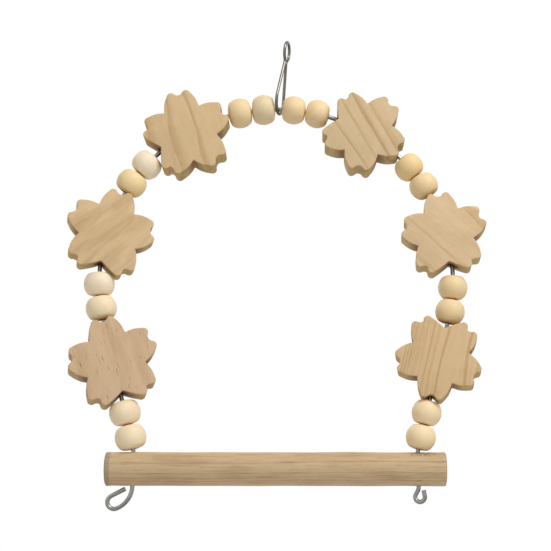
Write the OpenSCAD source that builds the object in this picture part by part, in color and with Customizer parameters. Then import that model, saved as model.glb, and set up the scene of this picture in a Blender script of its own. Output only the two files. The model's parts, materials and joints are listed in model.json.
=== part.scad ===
// Bird swing: a hoop of stiff wire strung with wooden beads and flower blocks,
// closed by a dowel perch and hung from a sprung wire hook.
// X runs along the perch, the front is -Y and Z is up.
// The origin is the inside top of the hook, where a cage bar carries the swing.

/* [Wire hoop] */
// Diameter of the hoop wire
wire_d = 2; // [1.6:0.1:2.2]
// Radius of the hoop to the middle of the wire
arch_r = 81.5; // [77:0.5:86]
// Radius of the small bend where each leg turns down into the perch
knee_r = 6; // [4:0.5:8]
// Height of that bend's corner above the top of the perch
knee_rise = 1; // [0.8:0.1:1.6]
// Least free play of the beads and flowers on either side of the hoop
string_play = 0.3; // [0.2:0.1:4]
// Share of a side's free play that is left above its low flower; the rest is beside the top flower
low_play_share = 0.5; // [0:0.05:1]
// How far the hook hangs to the right of the hoop's crown
hook_shift = 1.3; // [-2:0.1:2]

/* [Perch] */
// Diameter of the dowel
perch_d = 15; // [12:0.5:18]
// Length of the dowel
perch_len = 151; // [142:1:170]
// Distance between the two drilled holes
hole_span = 127; // [120:0.5:130]
// How far the perch sits to the right of the hoop's crown
perch_shift = 0.1; // [-3:0.1:3]
// Chamfer round each end of the dowel
perch_chamfer = 0.5; // [0.2:0.1:1.5]
// Clearance of the wire in its hole, on the diameter
hole_clearance = 0.4; // [0.2:0.1:0.8]

/* [Left eye under the perch] */
// Radius of its long outer sweep
left_sweep_r = 10.5; // [8:0.1:12]
// Angle bent along that sweep
left_sweep_angle = 70; // [66:1:76]
// Radius of its tip
left_tip_r = 3; // [2.5:0.1:3.5]
// Angle bent round the tip
left_tip_angle = 173; // [156:1:175]

/* [Right eye under the perch] */
// Radius of the small bend that leads into it
right_neck_r = 4; // [3:0.1:5]
// Angle of that bend
right_neck_angle = 30; // [24:1:36]
// Straight length between that bend and the eye
right_neck_len = 1.8; // [1:0.1:3]
// Radius of the eye itself
right_eye_r = 2.2; // [2:0.1:3]
// Angle bent round the eye
right_eye_angle = 220; // [210:1:230]
// Turn of the whole eye about its hole
right_eye_turn = 20; // [-60:5:60]
// Gap between an eye's end and the wire or the perch beside it
eye_gap = 0.2; // [0.15:0.05:1]

/* [Beads] */
// Diameter of a right-hand bead
bead_d = 13.4; // [12:0.1:15]
// Length of a bead along the wire
bead_len = 11.2; // [10:0.1:12.5]
// Radius of the slight dome on each end of a bead
bead_end_r = 16; // [12:0.5:24]
// Diameter of the hole through a bead
bead_bore_d = 3.2; // [2.9:0.1:4]
// Gap between neighbours on the wire
seat_gap = 0.15; // [0.15:0.05:0.6]

/* [Flowers] */
// Radius to the tips of the petals of a right-hand flower
flower_r = 19.3; // [18:0.1:21]
// Radius to the valleys between its petals
valley_r = 13.2; // [12:0.1:14]
// Radius to the notch in each petal's tip
notch_r = 17.6; // [17:0.1:18]
// Radius of each rounded corner of a petal
corner_r = 1.9; // [1.4:0.1:2.2]
// Distance of those corners' centres from the middle of the petal
corner_offset = 2.6; // [2.4:0.1:3.4]
// How far the side of a petal bows out
petal_bow = 0.2; // [0.2:0.1:0.8]
// How much fuller a petal is on a side that faces no bead
petal_fullness = 0.8; // [0:0.1:1]
// Thickness of a flower
flower_t = 13; // [10:0.5:16]
// Clearance between the curved wire and its hole through a flower, on the radius
flower_clearance = 0.15; // [0.1:0.05:0.4]

/* [Hook] */
// Diameter of the hook wire
hook_wire_d = 1.5; // [1.2:0.1:1.7]
// Height of the hook above the hoop wire
hook_h = 35; // [31:0.2:40]
// Radius of the top bow, to the middle of the wire
bow_r = 4.5; // [4:0.1:5.5]
// Radius of the bend at the waist
waist_r = 2; // [1.6:0.1:3]
// Distance between the two strands at the waist, middle to middle
waist_w = 2.6; // [2.4:0.1:4]
// Radius of the bottom of the long eye, to the middle of the wire
eye_r = 6.5; // [5:0.1:7]
// Gap between the hoop wire and the bottom of the eye
eye_clearance = 0.1; // [0.05:0.05:0.5]
// Angle of the mouth that is left open at the waist
mouth_angle = 18; // [14:1:30]
// Room between the two beads that flank the hook
hook_gap = 3.2; // [3:0.1:5]
// Lean of the hook towards the right
hook_lean = 7.5; // [0:0.5:9]
// Turn of the hook about its own length
hook_turn = 12; // [0:1:14]

/* [Hidden] */
$fn = 64;
petals = 5;
// Width of the left-hand flowers and beads beside the right-hand ones, as they were made
left_size_share = 1.06;
// Each flower from the crown down: turned in its own plane, then turned about the wire
left_turns = [[0, 2], [0, 12], [-3, 11]];
right_turns = [[5, 1], [-6, 4], [2, 6]];
// True where the drilled valley of a flower faces up the wire, to the crown
left_valley_up = [false, false, false];
right_valley_up = [true, false, true];
// Overrun of cutting tools past a face
over = 1;
// How much wider than the wire the ball is that joins two stretches of it
joint_swell = 0.02;
side_steps = 3;
corner_steps = 7;
notch_steps = 3;
settle_steps = 4;
solve_steps = 40;

wood = [0.80, 0.67, 0.50];
pale_wood = [0.90, 0.80, 0.64];
steel = [0.62, 0.62, 0.60];
nickel = [0.72, 0.71, 0.68];

bead_r = bead_d / 2;
bead_pitch = bead_len + seat_gap;
first_seat = hook_gap / 2 + bead_len / 2;
hole_left = hole_span / 2 - perch_shift;
hole_right = hole_span / 2 + perch_shift;

// The wire bows inside a flower's straight hole, so the hole is centred on the bow
widest_flower_r = flower_r * max(1, left_size_share);
bow_half = (arch_r - sqrt(arch_r * arch_r - widest_flower_r * widest_flower_r)) / 2;
flower_bore_d = wire_d + 2 * (bow_half + flower_clearance);

// A petal that points along +X runs from a valley along a side to a corner, then to the notch
corner_x = flower_r - corner_r;
valley = valley_r * [cos(180 / petals), sin(180 / petals)];
function side_angle(offset) =
    let (way = [corner_x, offset] - valley)
    atan2(way[1], way[0]) + asin(corner_r / norm(way));
// Half angle of the valley that the hole runs into, between its two slimmer sides
flank = 180 / petals - side_angle(corner_offset);

function on_circle(middle, r, a) = middle + r * [cos(a), sin(a)];
function turned(p, a) = [p[0] * cos(a) - p[1] * sin(a), p[0] * sin(a) + p[1] * cos(a)];
function mirrored(points) = [for (i = [len(points) - 1 : -1 : 1]) [points[i][0], -points[i][1]]];

// The side of a petal bows out between the valley and its corner
function side_points(offset, bow, angle) =
    let (way = [corner_x, offset] - valley, side_len = sqrt(way * way - corner_r * corner_r))
    [
        for (i = [0 : side_steps - 1])
            let (along = i / side_steps)
            valley + turned([along * side_len, 4 * bow * along * (1 - along)], angle)
    ];
// The corner's arc and, from there to the middle of the notch, the notch's arc
function tip_points(offset, angle) =
    let (
        arc_r = (pow(corner_x - notch_r, 2) + pow(offset, 2) - pow(corner_r, 2))
            / (2 * (corner_r + corner_x - notch_r)),
        arc_x = notch_r + arc_r,
        meet = atan2(-offset, arc_x - corner_x)
    )
    concat(
        [
            for (i = [0 : corner_steps])
                on_circle([corner_x, offset], corner_r,
                    angle + 90 + (meet - angle - 90) * i / corner_steps)
        ],
        [
            for (i = [1 : notch_steps - 1])
                on_circle([arc_x, 0], arc_r, 180 + meet * (1 - i / notch_steps))
        ]
    );
function half_petal(fullness) =
    let (offset = corner_offset + fullness, angle = side_angle(offset))
    concat(side_points(offset, petal_bow + fullness / 2, angle), tip_points(offset, angle));
function petal_points(first, second) =
    concat(half_petal(first), [[notch_r, 0]], mirrored(half_petal(second)));

// How far a bead's middle, x from a flower's middle, dips below the flower's hole
function dip(x, curved) =
    curved ? arch_r - sqrt(arch_r * arch_r - x * x) - bow_half : 0;
// The bead rests between two petals, clear of both whichever way round the flower turns
function valley_x(size, turn, curved, n) =
    let (
        opening = flank - abs(turn),
        lower = n == 0 ? 0 : abs(dip(valley_x(size, turn, curved, n - 1), curved)),
        reach = size * (bead_r + petal_bow) + seat_gap
    )
    (size * valley_r * sin(flank) + reach + lower * cos(opening)) / sin(opening);
// The bead's domed end rests on the two corners of a petal
function tip_x(size, turn, curved, n) =
    let (
        tip = size * (corner_x * cos(turn) + (corner_offset + petal_fullness) * sin(abs(turn)) + corner_r),
        x = n == 0 || !curved ? 0 : tip_x(size, turn, curved, n - 1)
    )
    tip + seat_gap + bead_end_r
        - (bead_end_r - bead_len / 2) * sqrt(1 - x * x / (arch_r * arch_r));
function wire_len(x, curved) = curved ? arch_r * asin(x / arch_r) * PI / 180 : x;
// Lengths of wire from a flower's middle to the next bead's, up the wire and down it
function seats(size, turn, valley_up, curved) =
    let (
        valley_side = wire_len(valley_x(size, turn, curved, settle_steps), curved),
        tip_side = wire_len(tip_x(size, turn, curved, settle_steps), curved)
    )
    valley_up ? [valley_side, tip_side] : [tip_side, valley_side];
// The two upper flowers of a side hang on the curve and the low one on the leg
function side_seats(size, turns, ups) =
    [for (i = [0 : 2]) seats(size, turns[i][0], ups[i], i < 2)];

// What is strung on one side, from the crown: how much wire it needs, and where its
// beads and flowers lie, down to the middle of the last bead. The free play is left on
// the tip side of the top flower and above the low one
function string_need(first, s) = first + 4 * bead_pitch
    + s[0][0] + s[0][1] + s[1][0] + s[1][1] + s[2][0] + s[2][1];
function flower_stations(first, s, ups, play) =
    let (
        low_play = play * low_play_share,
        top_play = play - low_play,
        top = first + bead_pitch + s[0][0] + (ups[0] ? 0 : top_play),
        middle = top + s[0][1] + (ups[0] ? top_play : 0) + bead_pitch + s[1][0],
        low = middle + s[1][1] + bead_pitch + s[2][0] + low_play
    )
    [top, middle, low];
function bead_stations(first, s, flowers) =
    let (
        above_middle = flowers[1] - s[1][0],
        above_low = flowers[1] + s[1][1] + bead_pitch,
        below_low = flowers[2] + s[2][1]
    )
    [
        first, first + bead_pitch,
        above_middle - bead_pitch, above_middle,
        above_low - bead_pitch, above_low,
        below_low, below_low + bead_pitch
    ];

// One side of the hoop: an arc over the crown, then a straight leg that meets it
// smoothly and runs to a corner, h to the side of the hoop's middle and y below it
function leg_turn(h, y) = 90 + atan2(y, h) - acos(arch_r / norm([h, y]));
function leg_len(h, y) = sqrt(h * h + y * y - arch_r * arch_r);
function arc_len(h, y) = arch_r * leg_turn(h, y) * PI / 180;
function string_len(h, y) = arc_len(h, y) + leg_len(h, y);
// The last bead leans with the leg and stays clear of the perch: how far up the leg it sits
function last_seat(h, y) =
    let (
        tilt = leg_turn(h, y) - 90,
        widest = bead_r * max(1, left_size_share),
        reach = min(widest, bead_end_r - (bead_end_r - bead_len / 2) * cos(tilt))
    )
    max(bead_len / 2 + seat_gap, (reach + seat_gap - knee_rise) / cos(tilt));
// The depth y at which a side is just long enough for what is strung on it
function drop_for(h, need, low, high, n) =
    let (y = (low + high) / 2)
    n == 0 ? y
    : string_len(h, y) < need + last_seat(h, y) ? drop_for(h, need, y, high, n - 1)
    : drop_for(h, need, low, y, n - 1);
function side_drop(h, need) =
    drop_for(h, need, sqrt(arch_r * arch_r - h * h), 2 * arch_r, solve_steps);

left_first = first_seat - hook_shift;
right_first = first_seat + hook_shift;
left_seats = side_seats(left_size_share, left_turns, left_valley_up);
right_seats = side_seats(1, right_turns, right_valley_up);
left_need = string_need(left_first, left_seats);
right_need = string_need(right_first, right_seats);
knee_drop = max(
    side_drop(hole_left, left_need + string_play),
    side_drop(hole_right, right_need + string_play)
);
perch_drop = knee_drop + knee_rise + perch_d / 2;
left_play = string_len(hole_left, knee_drop) - last_seat(hole_left, knee_drop) - left_need;
right_play = string_len(hole_right, knee_drop) - last_seat(hole_right, knee_drop) - right_need;
left_flowers = flower_stations(left_first, left_seats, left_valley_up, left_play);
left_beads = bead_stations(left_first, left_seats, left_flowers);
right_flowers = flower_stations(right_first, right_seats, right_valley_up, right_play);
right_beads = bead_stations(right_first, right_seats, right_flowers);

// The hook in its own plane, measured up from the middle of the hoop wire
bow_up = hook_h - hook_wire_d / 2 - bow_r;
eye_up = eye_r - wire_d / 2 - eye_clearance - hook_wire_d / 2;
waist_out = waist_w / 2 + waist_r;
waist_up = bow_up - sqrt(pow(bow_r + waist_r, 2) - pow(waist_out, 2));
waist_angle = atan2(waist_up - bow_up, waist_out);
eye_to_waist = [waist_out, waist_up - eye_up];
strand_lean = asin((eye_r + waist_r) / norm(eye_to_waist))
    - atan2(eye_to_waist[0], eye_to_waist[1]);
strand_len = sqrt(pow(norm(eye_to_waist), 2) - pow(eye_r + waist_r, 2));
hang_up = hook_h - hook_wire_d;
// The middle of the hoop wire in the hook's eye, seen from the middle of the hoop
hook_place = hook_shift / arch_r * 180 / PI;
eye_point = arch_r * [sin(hook_place), 0, cos(hook_place)];
hang_point = eye_point + hang_up * [sin(hook_lean), 0, cos(hook_lean)];

LEFT_BEADS = [for (i = [1 : 8]) str("bead_left_", i)];
RIGHT_BEADS = [for (i = [1 : 8]) str("bead_right_", i)];
LEFT_FLOWERS = ["flower_left_top", "flower_left_middle", "flower_left_low"];
RIGHT_FLOWERS = ["flower_right_top", "flower_right_middle", "flower_right_low"];

// Moves a shape drawn round the middle of the hoop into the part's own frame
module from_hang() {
    translate(-hang_point) children();
}

// A bend of round wire in the XY plane, about the origin, from one angle to another
module wire_arc(d, r, from, to) {
    rotate([0, 0, from]) rotate_extrude(angle = to - from) translate([r, 0]) circle(d = d);
}

// A run of round wire that starts at the origin along +X and is bent step by step,
// each step being ["straight", length], ["bend", radius, left turn] or ["roll", angle];
// a ball at each joint makes the stretches one piece
module wire_run(d, steps, i = 0) {
    if (i < len(steps)) {
        step = steps[i];
        if (step[0] == "roll") {
            rotate([step[1], 0, 0]) wire_run(d, steps, i + 1);
        } else {
            rotate([0, 90, 0]) sphere(d = d + joint_swell);
            if (step[0] == "straight") {
                rotate([0, 90, 0]) cylinder(d = d, h = step[1]);
                translate([step[1], 0, 0]) wire_run(d, steps, i + 1);
            } else {
                side = sign(step[2]);
                translate([0, side * step[1], 0]) {
                    if (side > 0) wire_arc(d, step[1], -90, step[2] - 90);
                    else wire_arc(d, step[1], 90 + step[2], 90);
                    rotate([0, 0, step[2]]) translate([0, -side * step[1], 0])
                        wire_run(d, steps, i + 1);
                }
            }
        }
    }
}

// The last strand of an eye runs back at an angle, from a depth under the perch and a place
// beside the hole, until it comes close to the perch or to the wire it started from
function last_strand(turn, depth, aside) =
    min(
        (depth - wire_d / 2 - eye_gap) / -cos(turn),
        (aside - wire_d - eye_gap) / -sin(turn)
    );
// The left eye is a long sweep outwards, a tip, and a strand back under the perch
function left_eye_steps() =
    let (
        turn = left_sweep_angle + left_tip_angle,
        depth = left_sweep_r * sin(left_sweep_angle)
            + left_tip_r * (sin(turn) - sin(left_sweep_angle)),
        aside = left_sweep_r * (1 - cos(left_sweep_angle))
            + left_tip_r * (cos(left_sweep_angle) - cos(turn))
    )
    [
        ["bend", left_sweep_r, left_sweep_angle],
        ["bend", left_tip_r, left_tip_angle],
        ["straight", last_strand(turn, depth, aside)]
    ];
// The right eye is a small oval one that hangs straight down
function right_eye_steps() =
    let (
        turn = right_eye_angle - right_neck_angle,
        depth = right_neck_r * sin(right_neck_angle) + right_neck_len * cos(right_neck_angle)
            + right_eye_r * (sin(turn) + sin(right_neck_angle)),
        aside = right_eye_r * (cos(right_neck_angle) - cos(turn))
            - right_neck_r * (1 - cos(right_neck_angle)) - right_neck_len * sin(right_neck_angle)
    )
    [
        ["roll", right_eye_turn],
        ["bend", right_neck_r, -right_neck_angle],
        ["straight", right_neck_len],
        ["bend", right_eye_r, right_eye_angle],
        ["straight", last_strand(turn, depth, aside)]
    ];

// One half of the hoop, from the crown down through the perch
function hoop_steps(h) =
    let (
        turn = leg_turn(h, knee_drop),
        knee_cut = knee_r * tan((turn - 90) / 2)
    )
    [
        ["bend", arch_r, -turn],
        ["straight", leg_len(h, knee_drop) - knee_cut],
        ["bend", knee_r, turn - 90],
        ["straight", perch_drop + perch_d / 2 - knee_drop - knee_cut]
    ];

module hoop_wire() {
    color(steel) from_hang() rotate([90, 0, 0]) {
        translate([0, arch_r, 0])
            wire_run(wire_d, concat(hoop_steps(hole_right), right_eye_steps()));
        mirror([1, 0, 0]) translate([0, arch_r, 0])
            wire_run(wire_d, concat(hoop_steps(hole_left), left_eye_steps()));
    }
}

module perch_dowel() {
    half = perch_d / 2;
    color(wood) from_hang() translate([perch_shift, 0, -perch_drop]) difference() {
        rotate([0, 90, 0]) translate([0, 0, -perch_len / 2]) rotate_extrude() polygon([
            [0, 0],
            [half - perch_chamfer, 0],
            [half, perch_chamfer],
            [half, perch_len - perch_chamfer],
            [half - perch_chamfer, perch_len],
            [0, perch_len]
        ]);
        for (side = [-1, 1])
            translate([side * hole_span / 2, 0, -half - over])
                cylinder(d = wire_d + hole_clearance, h = perch_d + 2 * over);
    }
}

// Places a shape on the wire at a distance s from the crown, with +X along the wire,
// away from the crown, and +Z out of the hoop; the left side is the mirror of the right
module on_wire(side, s) {
    h = side < 0 ? hole_left : hole_right;
    bend = arc_len(h, knee_drop);
    a = min(s / bend, 1) * leg_turn(h, knee_drop);
    past = max(0, s - bend);
    mirror([side < 0 ? 1 : 0, 0, 0])
        translate([arch_r * sin(a) + past * cos(a), 0, arch_r * cos(a) - past * sin(a)])
        rotate([0, a, 0]) children();
}

module bead(side, s) {
    end_middle = bead_end_r - bead_len / 2;
    color(pale_wood) from_hang() on_wire(side, s) rotate([0, 90, 0]) difference() {
        intersection() {
            sphere(d = bead_d * (side < 0 ? left_size_share : 1));
            translate([0, 0, end_middle]) sphere(r = bead_end_r);
            translate([0, 0, -end_middle]) sphere(r = bead_end_r);
        }
        translate([0, 0, -bead_len / 2 - over])
            cylinder(d = bead_bore_d, h = bead_len + 2 * over);
    }
}

// Two slimmer sides face the valley at angle 0, where a bead rests; the others are fuller
module flower_outline(size) {
    polygon([
        for (k = [0 : petals - 1])
            for (p = petal_points(k == 0 ? 0 : petal_fullness, k == petals - 1 ? 0 : petal_fullness))
                size * turned([p[0], -p[1]], 360 * (k + 0.5) / petals)
    ]);
}

module flower(side, s, turns, valley_up) {
    size = side < 0 ? left_size_share : 1;
    on_arc = s < arc_len(side < 0 ? hole_left : hole_right, knee_drop);
    reach = widest_flower_r + over;
    color(wood) from_hang() on_wire(side, s) translate([0, 0, on_arc ? -bow_half : 0])
        rotate([turns[1], 0, 0]) difference() {
            rotate([0, (valley_up ? 180 : 0) - turns[0], 0]) rotate([90, 0, 0])
                translate([0, 0, -flower_t / 2]) linear_extrude(flower_t) flower_outline(size);
            rotate([0, 90, 0]) translate([0, 0, -reach])
                cylinder(d = flower_bore_d, h = 2 * reach);
        }
}

// The hook is one bent wire, drawn both ways from the top of the bow that takes the cage
// bar: one end stops at the waist, the other goes on round the hoop wire in a long eye and
// springs shut against it. The gap between them is the mouth
module hanging_hook() {
    waist_turn = strand_lean - waist_angle;
    to_mouth = (waist_turn - mouth_angle) / 2;
    bow = ["bend", bow_r, waist_angle - 90];
    strand = ["straight", strand_len];
    color(nickel) from_hang() translate(eye_point) rotate([0, hook_lean, 0])
        rotate([90, 0, 90 - hook_turn]) translate([0, bow_up + bow_r, 0]) {
            wire_run(hook_wire_d, [bow, ["bend", waist_r, to_mouth]]);
            mirror([1, 0, 0]) wire_run(hook_wire_d, [
                bow,
                ["bend", waist_r, waist_turn],
                strand,
                ["bend", eye_r, -180 - 2 * strand_lean],
                strand,
                ["bend", waist_r, to_mouth]
            ]);
        }
}

hanging_hook();
hoop_wire();
perch_dowel();
for (i = [0 : 2]) {
    flower(-1, left_flowers[i], left_turns[i], left_valley_up[i]);
    flower(1, right_flowers[i], right_turns[i], right_valley_up[i]);
}
for (i = [0 : 7]) {
    bead(-1, left_beads[i]);
    bead(1, right_beads[i]);
}
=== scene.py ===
"""Bird swing: wooden beads and flower blocks on a bent wire hoop, a dowel perch and a wire hook."""

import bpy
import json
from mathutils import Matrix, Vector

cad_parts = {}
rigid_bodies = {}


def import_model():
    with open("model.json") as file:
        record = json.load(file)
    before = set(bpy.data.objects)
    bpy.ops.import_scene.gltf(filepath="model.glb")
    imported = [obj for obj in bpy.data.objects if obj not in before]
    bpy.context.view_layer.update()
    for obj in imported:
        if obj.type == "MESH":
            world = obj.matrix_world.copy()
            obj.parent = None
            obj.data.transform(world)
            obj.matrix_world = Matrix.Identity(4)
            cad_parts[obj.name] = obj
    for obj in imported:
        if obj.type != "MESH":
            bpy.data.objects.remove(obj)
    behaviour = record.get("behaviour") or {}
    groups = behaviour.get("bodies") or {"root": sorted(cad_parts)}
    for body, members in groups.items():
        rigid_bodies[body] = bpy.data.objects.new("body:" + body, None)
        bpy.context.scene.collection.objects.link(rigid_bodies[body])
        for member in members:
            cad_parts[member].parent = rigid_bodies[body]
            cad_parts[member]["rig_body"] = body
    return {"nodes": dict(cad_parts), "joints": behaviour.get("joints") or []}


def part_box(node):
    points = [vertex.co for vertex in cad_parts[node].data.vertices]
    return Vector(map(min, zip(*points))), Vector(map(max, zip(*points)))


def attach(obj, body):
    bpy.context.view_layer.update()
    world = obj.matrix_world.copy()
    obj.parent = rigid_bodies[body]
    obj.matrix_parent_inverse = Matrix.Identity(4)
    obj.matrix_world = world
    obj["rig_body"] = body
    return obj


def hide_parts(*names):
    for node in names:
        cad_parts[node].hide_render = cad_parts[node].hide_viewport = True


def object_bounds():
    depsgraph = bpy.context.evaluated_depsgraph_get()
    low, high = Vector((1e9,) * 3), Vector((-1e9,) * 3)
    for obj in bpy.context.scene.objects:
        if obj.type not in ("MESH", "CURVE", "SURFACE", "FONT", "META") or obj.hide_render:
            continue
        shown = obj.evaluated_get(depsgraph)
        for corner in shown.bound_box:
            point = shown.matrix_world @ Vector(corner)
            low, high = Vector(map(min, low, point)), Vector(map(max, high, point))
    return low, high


bl_info = {
    "name": "Bird Swing",
    "version": (1, 0, 0),
    "blender": (4, 5, 0),
    "location": "3D View > Sidebar > Bird Swing",
    "description": "Dresses the bird swing: turned beads, sawn flower blocks, dowel perch and bent wire",
    "category": "Object",
}

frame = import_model()

import json
import math
import random

import bpy
from bpy.props import FloatProperty, FloatVectorProperty, IntProperty, PointerProperty
from mathutils import Matrix, Vector, noise

MM = 0.001
CAD_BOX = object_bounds()
UP = Vector((0, 0, 1))
BACK = Vector((0, 1, 0))
RIGHT = Vector((1, 0, 0))
QUARTER_TURN = math.radians(90)
HALF_TURN = math.radians(180)
FULL_TURN = math.radians(360)
PETALS = 5
SIDES = (-1, 1)

# Each flower: its turn in its own plane and its spin about the wire, whether its drilled
# valley faces up the wire, and the angle of its grain seen from the front, all in degrees
FLOWERS = {
    "flower_left_top": (0, 2, False, -70),
    "flower_left_middle": (0, 12, False, 40),
    "flower_left_low": (-3, 11, False, -72),
    "flower_right_top": (5, 1, True, -61),
    "flower_right_middle": (-6, 4, False, -43),
    "flower_right_low": (2, 6, True, 76),
}
# Each flower's wood: how far the heart of the tree lies across the grain and behind the
# flower's middle and the spacing of its rings, in millimetres, how strongly rings,
# blotches and open pores show, and its tint
FLOWER_WOOD = {
    "flower_left_top": ((-62, 14), 10.0, 0.6, 0.135, 0.05, (0.99, 0.99, 0.91)),
    "flower_left_middle": ((-8, 44), 8.0, 0.3, 0.3825, 0.05, (1.05, 1.06, 1.0)),
    "flower_left_low": ((-75, 60), 7.0, 0.15, 0.27, 1.0, (0.97, 0.95, 0.99)),
    "flower_right_top": ((-70, 6), 6.4, 0.75, 0.135, 0.05, (0.97, 1.0, 0.97)),
    "flower_right_middle": ((-34, 30), 9.0, 0.45, 0.225, 0.05, (1.08, 1.11, 1.11)),
    "flower_right_low": ((8, 15.3), 1.4, 0.75, 0.225, 0.05, (1.02, 1.0, 0.92)),
}
# The shade of each bead, from the hook down
BEAD_SHADES = {
    "left": ("grey", "golden", "pale", "amber", "pale", "cream", "cream", "cream"),
    "right": ("golden", "golden", "honey", "golden", "golden", "golden", "warm", "warm"),
}
SHADES = {
    "pale": (1.0, 1.0, 1.0), "cream": (1.0, 0.97, 0.90), "warm": (0.98, 0.91, 0.76),
    "amber": (0.95, 0.87, 0.63), "golden": (0.90, 0.80, 0.60), "honey": (0.90, 0.78, 0.51),
    "grey": (0.82, 0.78, 0.66),
}


def length(name, description, mm):
    return FloatProperty(name=name, description=description, default=mm * MM, unit="LENGTH", precision=5)


def angle(name, description, degrees):
    return FloatProperty(name=name, description=description, default=math.radians(degrees), unit="ROTATION")


def share(name, description, value):
    return FloatProperty(name=name, description=description, default=value, subtype="FACTOR")


def colour(name, description, value):
    return FloatVectorProperty(name=name, description=description, default=value, subtype="COLOR")


class WireSizes(bpy.types.PropertyGroup):
    """Sizes of the hoop wire and of the hook"""

    wire_d: length("Hoop wire", "Diameter of the hoop wire", 2)
    arch_r: length("Hoop radius", "Radius of the hoop to the middle of its wire", 81.5)
    knee_r: length("Knee radius", "Radius of the bend where a leg turns down into the perch", 6)
    knee_rise: length("Knee height", "Height of that bend's corner above the perch", 1)
    hook_shift: length("Hook place", "How far the hook hangs to the right of the crown", 1.3)
    left_sweep_r: length("Left sweep", "Radius of the left eye's long outer sweep", 10.5)
    left_sweep_angle: angle("Left sweep angle", "Angle bent along that sweep", 70)
    left_tip_r: length("Left tip", "Radius of the left eye's tip", 3)
    left_tip_angle: angle("Left tip angle", "Angle bent round the tip", 173)
    right_neck_r: length("Right neck", "Radius of the bend that leads into the right eye", 4)
    right_neck_angle: angle("Right neck angle", "Angle of that bend", 30)
    right_neck_len: length("Right neck length", "Straight run from that bend to the right eye", 1.8)
    right_eye_r: length("Right eye", "Radius of the right eye", 2.2)
    right_eye_angle: angle("Right eye angle", "Angle bent round the right eye", 220)
    right_eye_turn: angle("Right eye turn", "Turn of the right eye about its hole", 20)
    eye_gap: length("Eye gap", "Gap between an eye's end and what lies beside it", 0.2)
    hook_wire_d: length("Hook wire", "Diameter of the hook wire", 1.5)
    hook_h: length("Hook height", "Height of the hook above the hoop wire", 35)
    bow_r: length("Bow radius", "Radius of the hook's top bow", 4.5)
    waist_r: length("Waist bend", "Radius of the bend at the waist", 2)
    waist_w: length("Waist width", "Distance between the strands at the waist", 2.6)
    eye_r: length("Long eye", "Radius of the bottom of the hook's long eye", 6.5)
    eye_clearance: length("Long eye clearance", "Gap between hoop wire and eye", 0.1)
    mouth_angle: angle("Mouth", "Angle left open at the waist", 18)
    hook_lean: angle("Hook lean", "Lean of the hook towards the right", 7.5)
    hook_turn: angle("Hook turn", "Turn of the hook about its own length", 12)


class WoodSizes(bpy.types.PropertyGroup):
    """Sizes of the perch, the beads and the flowers"""

    hole_span: length("Hole span", "Distance between the perch's two holes", 127)
    hole_clearance: length("Hole clearance", "Clearance of the wire in its hole, on the diameter", 0.4)
    perch_round: length("Perch end", "Rounding of the perch's two ends", 0.6)
    bead_d: length("Bead diameter", "Diameter of a right-hand bead", 13.4)
    bead_len: length("Bead length", "Length of a bead along the wire", 11.2)
    bead_end_r: length("Bead end", "Radius of the slight dome on a bead's end", 16)
    bead_bore_d: length("Bead bore", "Diameter of the hole through a bead", 3.2)
    bead_rim: length("Bead rim", "Rounding where a bead's side meets its end", 2.6)
    left_size: share("Left size", "Size of the left beads and flowers beside the right ones", 1.06)
    flower_r: length("Petal tips", "Radius to the tips of the petals", 19.3)
    valley_r: length("Valleys", "Radius to the valleys between petals", 13.2)
    notch_r: length("Notches", "Radius to the notch in each petal's tip", 17.6)
    corner_r: length("Petal corner", "Radius of each rounded corner of a petal", 1.9)
    corner_offset: length("Petal corner place", "Distance of those corners from the petal's middle", 2.6)
    petal_bow: length("Petal bow", "How far the side of a petal bows out", 0.2)
    petal_fullness: length("Petal fullness", "How much fuller a petal is on a side that faces no bead", 0.8)
    valley_round: length("Valley round", "How much the cutter leaves in the point of a valley", 0.15)
    flower_t: length("Flower thickness", "Thickness of a flower", 13)
    flower_bore_d: length("Flower bore", "Diameter of the hole through a flower", 4.9)
    edge_round: length("Sanded edge", "Rounding of a flower's front and back edges", 0.45)


class Finishes(bpy.types.PropertyGroup):
    """Colours of the wood and the wire"""

    flower_light: colour("Flower, early wood", "Colour of the pale wood of a flower", (0.66, 0.47, 0.275))
    flower_dark: colour("Flower, late wood", "Colour of the dark rings of a flower", (0.46, 0.285, 0.13))
    sawn: colour("Sawn sides", "Tint of a flower's sawn sides", (0.86, 0.83, 0.57))
    # Valleys: real saw scorch together with painted shade in the valleys' hollows
    scorched_and_shaded: colour("Valleys", "Tint of the scorched bottom of a valley", (0.46, 0.33, 0.23))
    bead_light: colour("Bead, early wood", "Colour of the pale wood of a bead", (0.935, 0.79, 0.58))
    bead_dark: colour("Bead, late wood", "Colour of the darker grain of a bead", (0.82, 0.64, 0.41))
    perch_light: colour("Perch, early wood", "Colour of the pale wood of the perch", (0.60, 0.43, 0.246))
    perch_dark: colour("Perch, late wood", "Colour of the dark grain of the perch", (0.36, 0.225, 0.115))
    end_grain: colour("End grain", "Tint of the perch's sawn ends", (0.74, 0.72, 0.60))
    # Painted shadow: the grey laid over the perch's left end
    painted_end_shadow: colour("Shadowed end", "Grey of the perch's shadowed end", (0.25, 0.22, 0.15))
    torn: colour("Torn fibres", "Colour of the specks by the perch's right hole", (0.12, 0.07, 0.035))
    pore: colour("Open pores", "Colour of the open pores in a flower", (0.16, 0.09, 0.05))
    # Painted shade: the dark colour inside a bead's bore
    bore: colour("Bead bore", "Colour inside a bead's bore", (0.16, 0.09, 0.045))
    steel: colour("Hoop wire", "Colour of the hoop wire", (0.30, 0.29, 0.27))
    nickel: colour("Hook wire", "Colour of the hook wire", (0.17, 0.16, 0.14))


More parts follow.
